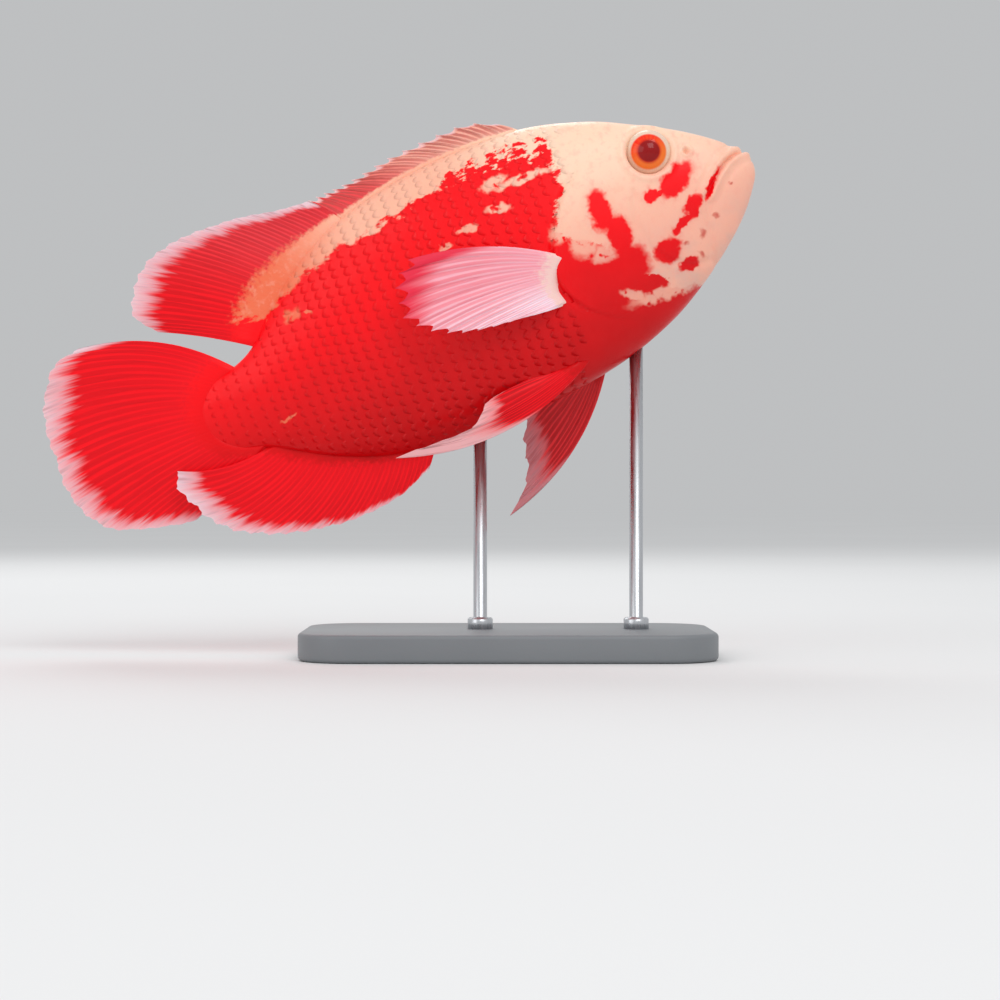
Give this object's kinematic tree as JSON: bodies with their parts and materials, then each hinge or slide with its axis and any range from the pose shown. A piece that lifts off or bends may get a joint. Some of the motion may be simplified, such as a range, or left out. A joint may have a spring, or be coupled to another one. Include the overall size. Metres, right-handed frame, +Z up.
{
  "type": "life-size model of an albino red oscar fish on a display stand",
  "caption": "Still life-size model of a deep-bodied red and cream cichlid, nose up, fins spread, held over a flat base by two short rods.",
  "frame": {"origin": "middle of the underside of the stand's base", "axes": "+X the way the fish looks, +Y its left side, +Z up"},
  "size_m": [0.2629, 0.084, 0.1951],
  "materials": {
    "head_skin": "wet cream skin with red blotches",
    "body_skin": "wet red scaled skin, cream along the back",
    "red_fin": "red membrane with white margins",
    "pale_fin": "pink-white membrane with fine rays",
    "eye": "clear and glossy, orange iris, dark red pupil",
    "stand_base": "fine satin grey",
    "stand_rod": "brushed"
  },
  "bodies": {
    "root": {"head": "head_skin", "lower_jaw": "head_skin", "gill_cover_right": "head_skin", "gill_cover_left": "head_skin", "eye_right": "eye", "eye_left": "eye", "trunk": "body_skin", "tail_stalk": "body_skin", "dorsal_fin_spines": "pale_fin", "dorsal_fin_soft": "red_fin", "anal_fin": "red_fin", "caudal_fin": "red_fin", "pectoral_fin_right": "pale_fin", "pectoral_fin_left": "pale_fin", "pelvic_fin_right": "pale_fin", "pelvic_fin_left": "red_fin", "stand_base": "stand_base", "stand_rod_front": "stand_rod", "stand_rod_rear": "stand_rod"}
  },
  "joints": []
}
